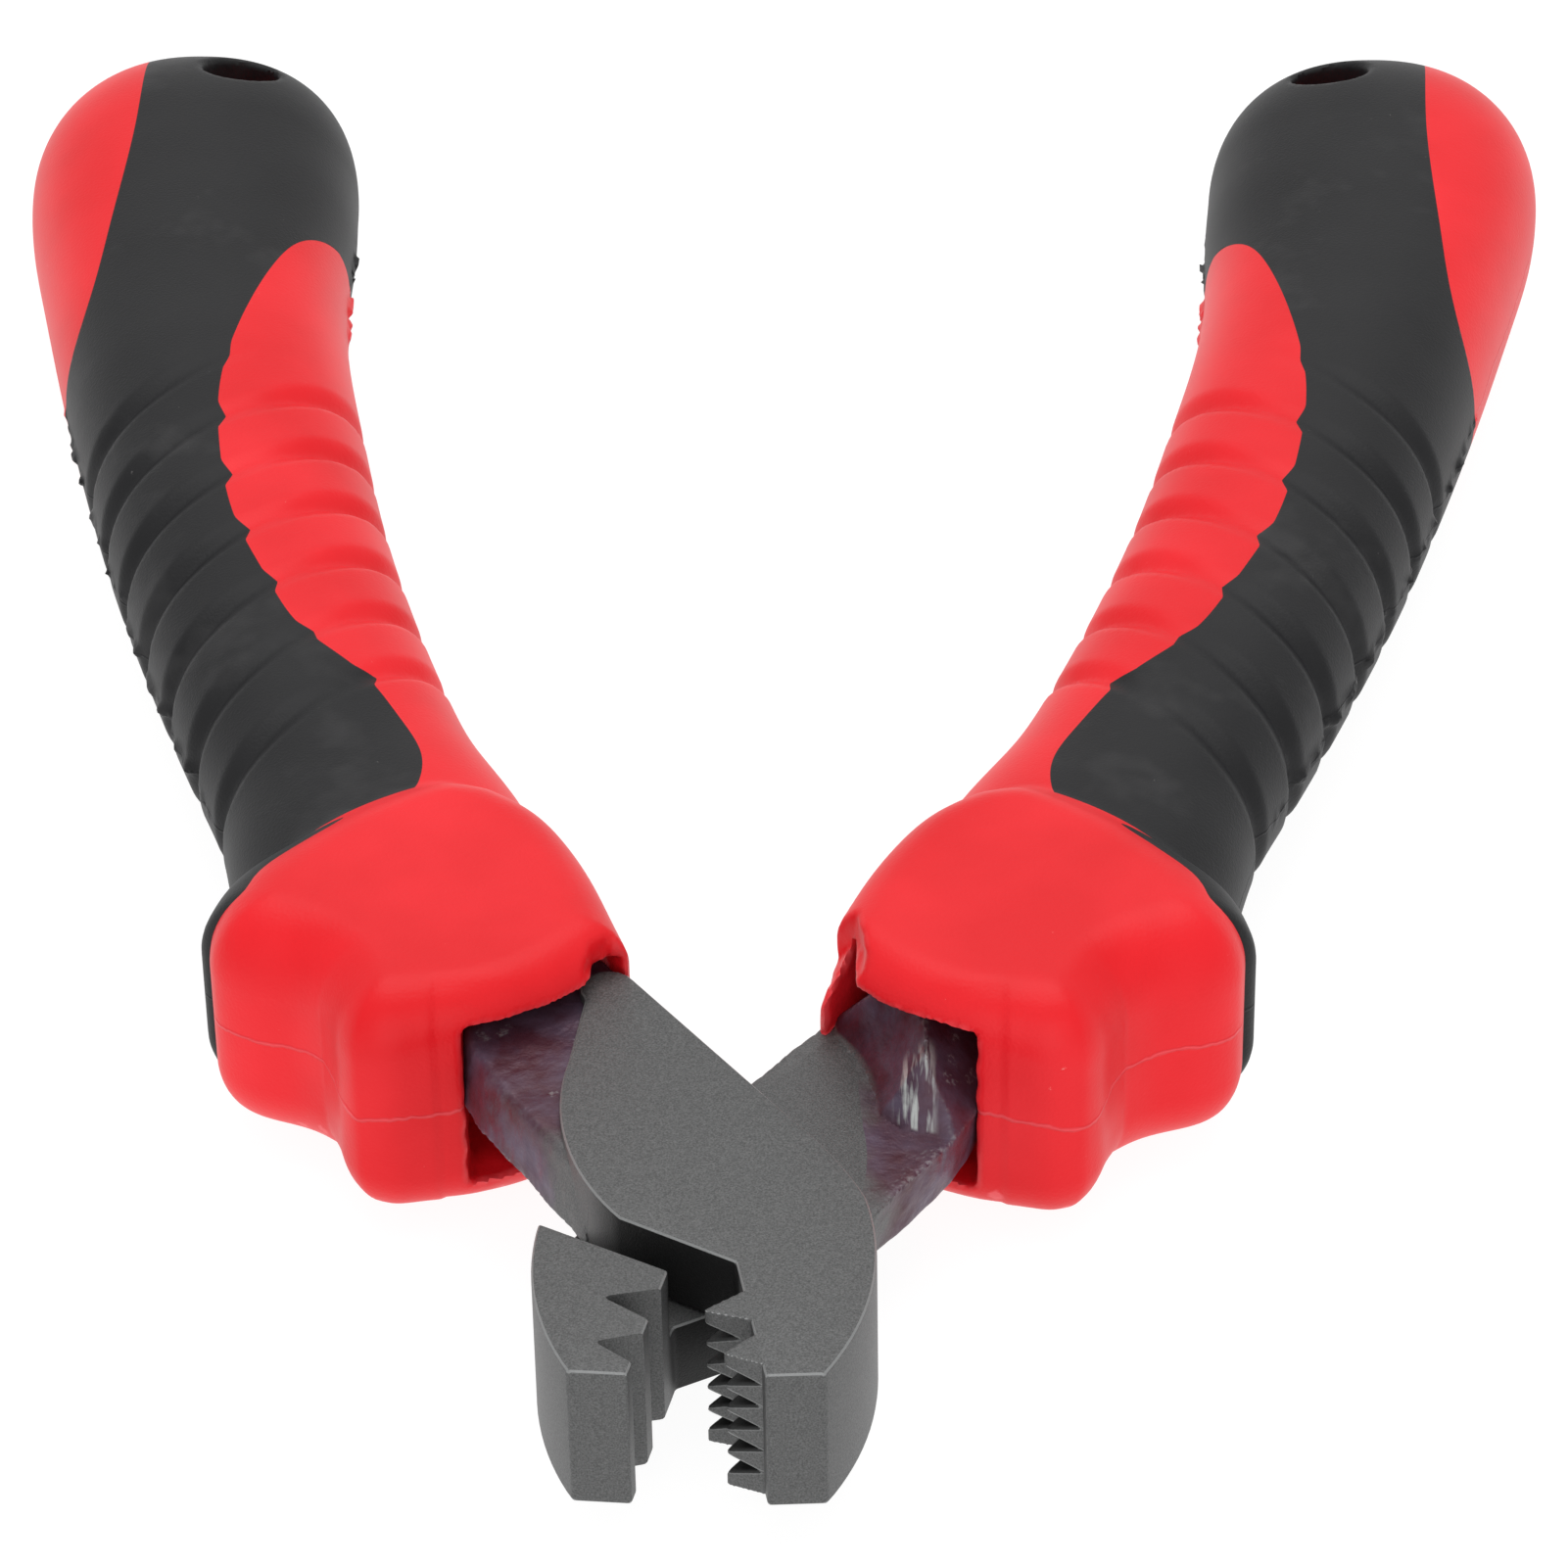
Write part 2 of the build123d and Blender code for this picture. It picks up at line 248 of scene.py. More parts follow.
def lattice_noise(points, size, seed):
    """Smooth random values from -1 to 1, with bumps of the given size in millimetres."""
    place = points / size + 200.0
    cell = np.floor(place).astype(int)
    share = place - cell
    share = share * share * (3 - 2 * share)
    values = np.random.default_rng(seed).uniform(-1, 1, 4096)
    total = np.zeros(len(points))
    for corner in range(8):
        step = np.array([corner & 1, corner >> 1 & 1, corner >> 2 & 1])
        index = (cell + step) @ np.array([73, 1031, 3511]) % 4096
        weight = np.prod(np.where(step == 1, share, 1 - share), axis=1)
        total += values[index] * weight
    return total


def gradient(field, points, reach=0.02):
    """Slope of a field at many points."""
    slope = np.zeros_like(points)
    for axis in range(3):
        shift = np.zeros(3)
        shift[axis] = reach
        slope[:, axis] = (field(points + shift) - field(points - shift)) / (2 * reach)
    return slope


def settle(points, field, step, rounds=3):
    """Moves points onto the surface where the field is zero."""
    for _ in range(rounds):
        slope = gradient(field, points)
        length_squared = np.maximum((slope ** 2).sum(axis=1), 0.05)
        move = -(field(points) / length_squared)[:, None] * slope
        length = np.linalg.norm(move, axis=1)
        move *= np.minimum(1, 0.6 * step / np.maximum(length, 1e-9))[:, None]
        points = points + move
    return points


def surface_of(field, low, high, step):
    """Points and four-sided faces of the surface where the field is zero."""
    low = np.array(low, float)
    counts = np.ceil((np.array(high, float) - low) / step).astype(int) + 1
    axes = [low[i] + step * np.arange(counts[i]) for i in range(3)]
    plan = np.stack(np.meshgrid(axes[0], axes[1], indexing="ij"), axis=-1).reshape(-1, 2)
    layers = []
    for z in axes[2]:
        layer = np.c_[plan, np.full(len(plan), z)]
        layers.append(field(layer).reshape(counts[0], counts[1]))
    value = np.stack(layers, axis=-1)
    inside = value < 0
    cells = int(np.prod(counts))
    strides = np.array([counts[1] * counts[2], counts[2], 1])
    total = np.zeros((cells, 3))
    hits = np.zeros(cells)
    quads = []
    for axis in range(3):
        first = [slice(None)] * 3
        second = [slice(None)] * 3
        first[axis] = slice(None, -1)
        second[axis] = slice(1, None)
        changes = inside[tuple(first)] != inside[tuple(second)]
        at = np.argwhere(changes)
        near = value[tuple(first)][changes]
        far = value[tuple(second)][changes]
        point = low + at * step
        point[:, axis] += near / (near - far) * step
        side_a, side_b = [k for k in range(3) if k != axis]
        around = []
        for back_a, back_b in ((1, 1), (0, 1), (0, 0), (1, 0)):
            cell = at.copy()
            cell[:, side_a] -= back_a
            cell[:, side_b] -= back_b
            index = cell @ strides
            around.append(index)
            hits += np.bincount(index, minlength=cells)
            for k in range(3):
                total[:, k] += np.bincount(index, weights=point[:, k], minlength=cells)
        quad = np.stack(around, axis=1)
        flip = (near < 0) == (axis == 1)
        quad[flip] = quad[flip][:, ::-1]
        quads.append(quad)
    used = hits > 0
    number = np.cumsum(used) - 1
    points = total[used] / hits[used][:, None]
    return settle(points, field, step), number[np.concatenate(quads)]


# ================================================================ meshes
def to_metres(points):
    return np.asarray(points) * MM + np.array(PIVOT)


def mesh_object(name, points, faces):
    mesh = bpy.data.meshes.new(name)
    points = to_metres(points)
    mesh.vertices.add(len(points))
    mesh.vertices.foreach_set("co", points.astype(np.float32).ravel())
    faces = np.asarray(faces)
    sides = faces.shape[1]
    mesh.loops.add(faces.size)
    mesh.loops.foreach_set("vertex_index", faces.ravel().astype(np.int32))
    mesh.polygons.add(len(faces))
    mesh.polygons.foreach_set("loop_start", np.arange(len(faces), dtype=np.int32) * sides)
    mesh.polygons.foreach_set("loop_total", np.full(len(faces), sides, dtype=np.int32))
    mesh.update(calc_edges=True)
    mesh.validate()
    mesh.shade_smooth()
    piece = bpy.data.objects.new(name, mesh)
    bpy.context.collection.objects.link(piece)
    return piece


def prism(name, outline, low, high):
    """A closed outline raised from one height to another."""
    count = len(outline)
    mesh = bmesh.new()
    rings = []
    for z in (low, high):
        rings.append([mesh.verts.new(to_metres((x, y, z))) for x, y in outline])
    mesh.faces.new(rings[0])
    mesh.faces.new(rings[1])
    for k in range(count):
        after = (k + 1) % count
        mesh.faces.new((rings[0][k], rings[0][after], rings[1][after], rings[1][k]))
    bmesh.ops.recalc_face_normals(mesh, faces=mesh.faces)
    data = bpy.data.meshes.new(name)
    mesh.to_mesh(data)
    mesh.free()
    piece = bpy.data.objects.new(name, data)
    bpy.context.collection.objects.link(piece)
    return piece


def combine(piece, tool, operation):
    """Applies one boolean to the piece."""
    modifier = piece.modifiers.new("combine", "BOOLEAN")
    modifier.object = tool
    modifier.operation = operation
    modifier.solver = "MANIFOLD"
    apply_modifiers(piece)


def apply_modifiers(piece):
    graph = bpy.context.evaluated_depsgraph_get()
    finished = bpy.data.meshes.new_from_object(piece.evaluated_get(graph))
    piece.modifiers.clear()
    old = piece.data
    piece.data = finished
    bpy.data.meshes.remove(old)


def copy_of(piece, name):
    twin = bpy.data.objects.new(name, piece.data.copy())
    bpy.context.collection.objects.link(twin)
    return twin


def discard(*pieces):
    for piece in pieces:
        bpy.data.objects.remove(piece)


def turned_over(piece, name):
    """The same piece for the other side: half a turn about the pivot's Y line."""
    twin = copy_of(piece, name)
    turn = Matrix.Translation(PIVOT) @ Matrix.Rotation(pi, 4, "Y") @ Matrix.Translation(-PIVOT)
    twin.data.transform(turn)
    return twin


def largest_part(piece):
    """Drops loose scraps left by the booleans."""
    mesh = bmesh.new()
    mesh.from_mesh(piece.data)
    unseen = set(mesh.verts)
    parts = []
    while unseen:
        stack = [unseen.pop()]
        part = [stack[0]]
        while stack:
            vertex = stack.pop()
            for edge in vertex.link_edges:
                other = edge.other_vert(vertex)
                if other in unseen:
                    unseen.remove(other)
                    stack.append(other)
                    part.append(other)
        parts.append(part)
    parts.sort(key=len)
    for part in parts[:-1]:
        bmesh.ops.delete(mesh, geom=part, context="VERTS")
    mesh.to_mesh(piece.data)
    mesh.free()


# ================================================================ grip shapes
AXIS = smooth_line([(s.x, s.y) for s in GRIP_SECTIONS], spacing=0.5)
AXIS_AT = np.r_[0, np.cumsum(np.linalg.norm(np.diff(AXIS, axis=0), axis=1))]
GRIP_LOW = (-50.0, 4.0)
GRIP_HIGH = (0.0, 118.0)


def axis_position(y):
    """Distance along the grip's axis at a given y."""
    return float(np.interp(y, AXIS[:, 1], AXIS_AT))


def along_and_across(points):
    """Distance along the axis, and sideways from it (positive towards the middle)."""
    heading = np.gradient(AXIS, axis=0)
    heading /= np.linalg.norm(heading, axis=1)[:, None]
    nearest = np.full(len(points), 1e9)
    along = np.zeros(len(points))
    across = np.zeros(len(points))
    for place, point, direction in zip(AXIS_AT, AXIS, heading):
        offset = points - point
        gap = (offset ** 2).sum(axis=1)
        better = gap < nearest
        nearest[better] = gap[better]
        ahead = offset[better] @ direction
        sideways = offset[better] @ np.array([direction[1], -direction[0]])
        along[better] = place + ahead
        across[better] = sideways
    return np.c_[along, across]


ALONG = PlanTable(GRIP_LOW, GRIP_HIGH, lambda p: along_and_across(p)[:, 0])
ACROSS = PlanTable(GRIP_LOW, GRIP_HIGH, lambda p: along_and_across(p)[:, 1])

SECTION_AT = [axis_position(s.y) for s in GRIP_SECTIONS]
WIDTHS = spline(AXIS_AT, SECTION_AT, [s.half_width for s in GRIP_SECTIONS])
HEIGHTS = spline(AXIS_AT, SECTION_AT, [s.half_height for s in GRIP_SECTIONS])
TAIL_AT = axis_position(TAIL_START)
TAIL_LENGTH = AXIS_AT[-1] - TAIL_AT


def tube(points):
    """Distance to the plain grip tube with its rounded far end."""
    along = ALONG(points)
    width = np.interp(along, AXIS_AT, WIDTHS)
    height = np.interp(along, AXIS_AT, HEIGHTS)
    u = np.abs(ACROSS(points)) / width + 1e-6
    v = np.abs(points[:, 2]) / height + 1e-6
    t = np.maximum(along - TAIL_AT, 0) / TAIL_LENGTH
    n = SQUARENESS
    p = TAIL_SQUARENESS
    ring = (u ** n + v ** n) ** (1 / n)
    whole = (ring ** p + t ** p) ** (1 / p)
    ring_slope = np.hypot((u / ring) ** (n - 1) / width, (v / ring) ** (n - 1) / height)
    slope = np.hypot((ring / whole) ** (p - 1) * ring_slope, (t / whole) ** (p - 1) / TAIL_LENGTH)
    body = (whole - 1) / slope
    front = 4.0 - along
    return np.maximum(body, front)


def valley(behind):
    """Depth of one groove, as a share, against distance behind its crest."""
    rise = np.clip(behind / RIB_VALLEY, 0, 1)
    fall = 1 - smooth_step(behind, RIB_VALLEY * 0.8, RIB_WIDTH)
    return np.where(behind < 0, 0, rise * fall)


def rib_place(points):
    """Position along the grip, slanted the way the ribs run."""
    return ALONG(points) - ACROSS(points) * tan(radians(RIB_SLANT))


def ribs(points):
    """Depth of the finger ribs, strongest on the sides of the grip."""
    place = rib_place(points)
    depth = np.zeros(len(points))
    for number in range(RIB_COUNT):
        crest = axis_position(RIB_FIRST + RIB_PITCH * number)
        fade = 1 - 0.45 * abs(number - (RIB_COUNT - 1) / 2) / RIB_COUNT
        if number == RIB_COUNT - 1:
            fade = fade * (1 - smooth_step(ACROSS(points), -2, 3))
        depth = np.maximum(depth, valley(place - crest) * fade)
    width = np.interp(ALONG(points), AXIS_AT, WIDTHS)
    side = smooth_step(np.abs(ACROSS(points)) / width, 0.0, 0.7)
    return RIB_DEPTH * depth * (0.35 + 0.65 * side)


def guard_outline():
    """Guard with finger stop, seen from above, at its widest."""
    front = smooth_line([
        (-18.6, 8.8), (-17.0, 8.5), (-15.3, 8.9), (-13.0, 9.5), (-9.6, 11.2), (-6.6, 13.9), (-4.9, 16.4),
    ])
    inner = smooth_line([
        (-4.9, 16.4), (-5.7, 18.6), (-7.0, 22.2), (-8.5, 25.4), (-10.2, 27.9), (-12.6, 29.9),
    ])
    rear = smooth_line([
        (-12.6, 29.9), (-15.4, 30.6), (-18.0, 29.7), (-20.8, 28.0),
        (-24.0, 25.0), (-26.2, 22.0), (-27.0, 19.2),
    ])
    nose = smooth_line([(-27.0, 19.2), (-26.6, 16.6), (-24.8, 15.2), (-22.2, 14.2), (-20.8, 13.2)])
    corner = smooth_line([(-20.8, 13.2), (-20.0, 11.4), (-19.5, 9.9), (-18.6, 8.7)])
    return np.concatenate([front[:-1], inner[:-1], rear[:-1], nose[:-1], corner[:-1]])


def socket_outline():
    return np.array([
        (-12.9, 2.0), (-12.9, 8.0), (-13.7, 17.0), (-12.6, 22.5), (-9.9, 22.5), (-5.1, 15.9),
        (-2.0, 12.0), (-2.0, 2.0),
    ])


def notch_outline():
    lip = smooth_line([(-8.3, 11.6), (-7.6, 12.9), (-7.25, 14.2), (-7.0, 15.3), (-6.8, 16.3)])
    return np.concatenate([lip, [(-6.0, 17.1), (-3.0, 17.1), (-3.0, 11.6)]])


GUARD_PLAN = PlanTable(GRIP_LOW, GRIP_HIGH, lambda p: plan_distance(p, guard_outline()))
SOCKET_PLAN = PlanTable(GRIP_LOW, GRIP_HIGH, lambda p: plan_distance(p, socket_outline()))
NOTCH_PLAN = PlanTable((-12.0, 8.0), (-2.0, 21.0), lambda p: plan_distance(p, notch_outline()))


def guard(points, grown=0.0, lowered=0.0):
    """Distance to the guard, or to the guard made wider all round or lower."""
    lift = smooth_step(-points[:, 0], 12.0, 24.0)
    half_height = GUARD_HALF_HEIGHT + (STOP_HALF_HEIGHT - GUARD_HALF_HEIGHT) * lift
    rounding = GUARD_ROUNDING + (STOP_ROUNDING - GUARD_ROUNDING) * lift
    return slab(GUARD_PLAN(points) - grown, points[:, 2], half_height - lowered, rounding)


def guard_cutter(points):
    return guard(points, grown=0.2, lowered=-0.2)


def rim(points):
    """Soft layer that wraps the back of the finger stop."""
    ahead_of_nose = points[:, 1] - 18.4
    beside_arm = points[:, 0] + 17.4
    tapered = smooth_cut(guard(points, grown=RIM, lowered=RIM_DROP), ahead_of_nose, 1.6)
    return np.maximum(tapered, beside_arm)


def socket(points):
    rough = 0.10 * lattice_noise(points, 0.9, 11)
    return slab(SOCKET_PLAN(points), points[:, 2], SOCKET_HALF_HEIGHT, 0.3) + rough


def lip_notch(points):
    """Room over the plate's end: both flat walls stop short, and a thin flap stays between them."""
    flap_top = 1.6 - 1.9 * (points[:, 0] + 5.0)
    over_flap = (flap_top - np.abs(points[:, 2])) / np.hypot(1, 1.9)
    moved = points.copy()
    moved[:, 1] += np.where(points[:, 2] > 0, 1.0, -1.5)
    return np.maximum(NOTCH_PLAN(moved), over_flap) + 0.12 * lattice_noise(points, 0.8, 12)


def lanyard_hole(points):
    return np.hypot(points[:, 0] - HOLE[0], points[:, 1] - HOLE[1]) - HOLE_RADIUS


def flash(points):
    """Height of the crumbs of rubber left along the line where the mould halves met."""
    y, z = points.T[1:]
    outer_side = smooth_step(ACROSS(points), 0, -3) * smooth_step(y, 33, 38) * smooth_step(-y, -80, -74)
    inner_side = smooth_step(ACROSS(points), 0, 3) * smooth_step(y, 84, 87) * smooth_step(-y, -99, -96)
    crumbs = np.clip(lattice_noise(points, 0.7, 21) + 0.15, 0, 0.6)
    return 0.55 * crumbs * np.exp(-(z / 0.35) ** 2) * (outer_side + inner_side)


def grip(points):
    """Whole outside of the left grip: ribbed tube and guard."""
    ribbed = tube(points) + ribs(points)
    whole = smooth_union(ribbed - flash(points), guard(points), 0.8)
    whole = smooth_cut(whole, socket(points), 0.25)
    beside_mouth = smooth_step(points[:, 0], -14.75, -14.5) * smooth_step(-points[:, 1], -12.0, -10.8)
    whole += 0.10 * beside_mouth
    near_lip = (np.abs(points[:, 0] + 7.0) < 4.5) & (np.abs(points[:, 1] - 14.5) < 6.0)
    whole = np.where(near_lip, smooth_cut(whole, lip_notch(points), 0.25), whole)
    return smooth_cut(whole, lanyard_hole(points), 0.5)


def inner_grip(points):
    """The hard core under the overmould."""
    return tube(points) + SKIN


def scalloped(curve):
    """The colour boundary steps sideways a little at every rib."""
    flat = np.c_[curve, np.zeros(len(curve))]
    depth = ribs(flat) / RIB_DEPTH
    heading = np.gradient(curve, axis=0)
    heading /= np.linalg.norm(heading, axis=1)[:, None]
    sideways = np.c_[heading[:, 1], -heading[:, 0]]
    return curve + sideways * (1.55 * (depth - 0.15))[:, None]


def overmould_outline():
    """Where the soft layer covers the grip, seen from above."""
    strip = smooth_line([
        (-18.5, 24.0), (-17.5, 27.0), (-16.7, 30.2), (-16.8, 33.5), (-18.2, 36.9), (-20.9, 41.4),
        (-24.1, 44.9), (-26.8, 50.2), (-29.1, 55.9), (-30.7, 62.9), (-31.4, 70.2), (-31.0, 75.9),
        (-30.3, 80.6), (-29.5, 84.6), (-28.3, 88.3), (-26.6, 91.0),
    ], spacing=0.25)
    end = np.array([(-24.2, 92.7), (-16.0, 95.5), (-20.0, 122.0), (-40.6, 122.0)])
    patch = smooth_line([
        (-40.6, 122.0), (-40.3, 109.0), (-39.9, 99.0), (-40.3, 88.0),
        (-41.1, 80.0), (-42.8, 75.0), (-46.0, 70.0),
    ])
    outer = np.array([(-49.0, 66.0), (-49.0, 22.0)])
    return np.concatenate([scalloped(strip), end, patch[1:], outer])


def left_grip_pieces():
    """The hard core and the soft overmould of the left grip."""
    core = mesh_object("left_core", *surface_of(grip, *GRIP_BOX, GRIP_STEP))
    inner = mesh_object("inner", *surface_of(inner_grip, *GRIP_BOX, INNER_STEP))
    guard_body = mesh_object("guard", *surface_of(guard_cutter, *GUARD_BOX, GRIP_STEP))
    rim_body = mesh_object("rim", *surface_of(rim, *GUARD_BOX, GRIP_STEP))
    layer = prism("layer", overmould_outline(), -THROUGH, THROUGH)
    combine(layer, inner, "DIFFERENCE")
    combine(layer, guard_body, "DIFFERENCE")
    combine(rim_body, core, "DIFFERENCE")
    soft = copy_of(core, "left_overmould")
    combine(soft, layer, "INTERSECT")
    combine(soft, rim_body, "UNION")
    combine(core, layer, "DIFFERENCE")
    for piece in (core, soft):
        largest_part(piece)
    discard(inner, guard_body, rim_body, layer)
    return core, soft


# ================================================================ lever shapes
def arc_through(start, middle, end, spacing=0.7):
    """Points on the circle arc through three points."""
    (ax, ay), (bx, by), (cx, cy) = start, middle, end
    twice = 2 * (ax * (by - cy) + bx * (cy - ay) + cx * (ay - by))
    squares = [ax * ax + ay * ay, bx * bx + by * by, cx * cx + cy * cy]
    centre = np.array([
        squares[0] * (by - cy) + squares[1] * (cy - ay) + squares[2] * (ay - by),
        squares[0] * (cx - bx) + squares[1] * (ax - cx) + squares[2] * (bx - ax),
    ]) / twice
    angles = [np.arctan2(y - centre[1], x - centre[0]) for x, y in (start, middle, end)]
    angles = np.unwrap(angles)
    radius = np.hypot(ax - centre[0], ay - centre[1])
    count = max(3, int(abs(angles[2] - angles[0]) * radius / spacing) + 1)
    sweep = np.linspace(angles[0], angles[2], count)
    return centre + radius * np.c_[np.cos(sweep), np.sin(sweep)]


def swung(points, degrees):
    """Plan points turned about the pivot."""
    c = cos(radians(degrees))
    s = sin(radians(degrees))
    return np.asarray(points) @ np.array([[c, s], [-s, c]])


def nest(centre_y, depth, half_mouth):
    """One hollow in the working face of the right jaw, jaws open."""
    mouth = -0.6
    flare = half_mouth * (1 - mouth / depth)
    corners = [(mouth, centre_y + flare), (depth - 0.12, centre_y + 0.15), (depth, centre_y),
               (depth - 0.12, centre_y - 0.15), (mouth, centre_y - flare)]
    return prism("nest", swung(corners, OPEN_HALF), -THROUGH, THROUGH)


def head_outline():
    """Lap plate and jaw seen from above with the jaws shut, starting at the heel."""
    face = [(0, -7.85), (0, -16.55)]
    side = arc_through((2.85, -16.95), (6.3, -10.8), (7.15, -4.0))
    joint = arc_through((7.15, -4.0), (6.3, -0.95), (4.65, 2.8))
    corner = arc_through((-1.5, 15.9), (-2.8, 16.95), (-4.2, 14.8), spacing=0.5)
    outer = arc_through((-5.75, 9.8), (-6.9, 3.6), (-5.1, -3.4))
    return np.concatenate([face, side[:-1], joint, corner, outer])


def clip_index(outline, slope, offset):
    """Signed distances of outline points from the jaw's back line, positive in the jaw."""
    line = np.array([sin(slope), -cos(slope)])
    return outline @ line - offset


def head_body(name):
    """Lap plate above the lap plane and full-height jaw in front, jaws open."""
    outline = head_outline()
    ahead = clip_index(outline, radians(JAW_BACK_SLANT), JAW_BACK_OFFSET)
    points = []
    in_jaw = []
    count = len(outline)
    for k in range(count):
        after = (k + 1) % count
        points.append(outline[k])
        in_jaw.append(bool(ahead[k] >= 0))
        if (ahead[k] >= 0) != (ahead[after] >= 0):
            share = ahead[k] / (ahead[k] - ahead[after])
            points.append(outline[k] + share * (outline[after] - outline[k]))
            in_jaw.append(None)
    splits = [points[k] for k in range(len(points)) if in_jaw[k] is None]
    kept = [k for k in range(len(points)) if in_jaw[k] is None or
            min(np.hypot(*(points[k] - split)) for split in splits) > 0.4]
    points = swung([points[k] for k in kept], OPEN_HALF)
    in_jaw = [in_jaw[k] for k in kept]
    count = len(points)
    mesh = bmesh.new()

    def corner(k, z):
        return mesh.verts.new(to_metres((points[k][0], points[k][1], z)))

    top = [corner(k, HEAD_HALF) for k in range(count)]
    lap = [corner(k, LAP_HALF_GAP) if in_jaw[k] is not True else None for k in range(count)]
    low = [corner(k, -HEAD_HALF) if in_jaw[k] is not False else None for k in range(count)]
    mesh.faces.new(top)
    mesh.faces.new([v for v in lap if v])
    mesh.faces.new([v for v in low if v])
    for k in range(count):
        after = (k + 1) % count
        if in_jaw[k] is False or in_jaw[after] is False:
            mesh.faces.new((top[k], top[after], lap[after], lap[k]))
            continue
        wall = [top[k], top[after]]
        if lap[after]:
            wall.append(lap[after])
        wall += [low[after], low[k]]
        if lap[k]:
            wall.append(lap[k])
        mesh.faces.new(wall)
    ends = [k for k in range(count) if in_jaw[k] is None]
    mesh.faces.new((lap[ends[0]], lap[ends[1]], low[ends[1]], low[ends[0]]))
    bmesh.ops.recalc_face_normals(mesh, faces=mesh.faces)
    sharp = [e for e in mesh.edges if e.calc_face_angle(0) > radians(24)]
    bmesh.ops.bevel(mesh, geom=sharp, offset=EDGE_BEVEL * MM, offset_type="OFFSET", segments=3,
                    profile=0.6, affect="EDGES", clamp_overlap=False)
    bmesh.ops.triangulate(mesh, faces=mesh.faces)
    data = bpy.data.meshes.new(name)
    mesh.to_mesh(data)
    mesh.free()
    piece = bpy.data.objects.new(name, data)
    bpy.context.collection.objects.link(piece)
    return piece


ARM_OUTLINE = np.array([
    (-0.45, 10.6), (-4.6, -0.6), (-6.2, -1.7), (-7.5, 0.3), (-9.3, 3.2), (-10.9, 5.5), (-12.3, 7.8),
    (-13.2, 9.8), (-14.2, 13.4), (-15.4, 18.0), (-17.0, 22.0), (-17.5, 25.0), (-11.8, 25.0), (-4.3, 16.0),
])
POCKET_OUTLINE = np.array([
    (-5.3, 24.0), (-5.7, 16.0), (-7.4, 12.9), (-8.0, 10.9), (-8.1, 9.3), (-9.5, 8.2), (-16.0, 6.2),
    (-16.0, -20.0), (16.0, -20.0), (16.0, 24.0),
])
ARM_LOW = (-19.0, -3.0)
ARM_HIGH = (0.5, 26.0)
ARM_PLAN = PlanTable(ARM_LOW, ARM_HIGH, lambda p: plan_distance(p, ARM_OUTLINE))
POCKET_PLAN = PlanTable(ARM_LOW, ARM_HIGH, lambda p: plan_distance(p, POCKET_OUTLINE))


def arm(points):
    """Distance to the rough forged arm with the milled lap pocket in its lower half."""
    height = points[:, 2]
    slope = np.where(height > 0, ARM_SLOPE, MILLED_ARM_SLOPE)
    lean = (ARM_PLAN(points) + slope * np.abs(height)) / np.hypot(1, slope)
    cap = np.abs(height) - ARM_HALF_HEIGHT
    body = -smooth_union(-lean, -cap, 0.5)
    body += 0.07 * lattice_noise(points, 1.6, 3) + 0.03 * lattice_noise(points, 0.6, 4)
    inside_guard = smooth_step(points[:, 1], 12.5, 17.0)
    slope = POCKET_SLOPE + (INNER_POCKET_SLOPE - POCKET_SLOPE) * inside_guard
    wall = (POCKET_PLAN(points) - slope * np.abs(height)) / np.hypot(1, slope)
    wall += 0.16 * lattice_noise(points, 1.7, 5)
    pocket = np.maximum(wall, height - LAP_HALF_GAP)
    return smooth_cut(body, pocket, 0.12)


def arm_tail_outline():
    """Long bent end of the lever inside the grip."""
    outer = [(-13.9, 16.5), (-18.2, 23.5), (-23.8, 35.0), (-29.6, 51.0), (-33.2, 68.0)]
    inner = [(-28.8, 69.0), (-24.2, 51.0), (-18.0, 35.0), (-11.8, 23.5), (-7.8, 18.2)]
    return np.concatenate([smooth_line(outer, spacing=2.0), smooth_line(inner, spacing=2.0)])


def tooth_distance(points, centre_y, height):
    """Distance to one tooth on the right jaw's face, with grooves across it, jaws shut."""
    x, y, z = points.T
    lean = TOOTH_HALF_BASE / height
    side = (np.abs(y - centre_y) - (x + height) * lean) / np.hypot(1, lean)
    body = -smooth_union(-side, x + height + 0.12, 0.5)
    body = np.maximum(body, x - TOOTH_ROOT)
    body = np.maximum(body, np.abs(z) - HEAD_HALF + 0.02)
    offset = (z + HEAD_HALF) % TOOTH_PITCH
    to_groove = np.minimum(offset, TOOTH_PITCH - offset)
    at_end = np.abs(z) > HEAD_HALF - TOOTH_PITCH / 2
    groove = (to_groove - GROOVE_SLOPE * (-x - height + GROOVE_DEPTH)) / np.hypot(1, GROOVE_SLOPE)
    groove = np.where(at_end, 1.0, groove)
    return smooth_cut(body, groove, 0.22)


def teeth(points):
    """Both male teeth of the right jaw, jaws open."""
    shut = np.c_[swung(points[:, :2], -OPEN_HALF), points[:, 2]]
    rear = tooth_distance(shut, REAR_TOOTH_Y, TOOTH_HEIGHT)
    front = tooth_distance(shut, FRONT_TOOTH_Y, FRONT_TOOTH_HEIGHT)
    return np.minimum(rear, front)


def rivet_outline():
    """Circle of the rivet and of its bore, so that they meet without a gap."""
    return arc_through((RIVET_RADIUS, 0), (-RIVET_RADIUS, 0), (RIVET_RADIUS, -0.01), spacing=0.3)


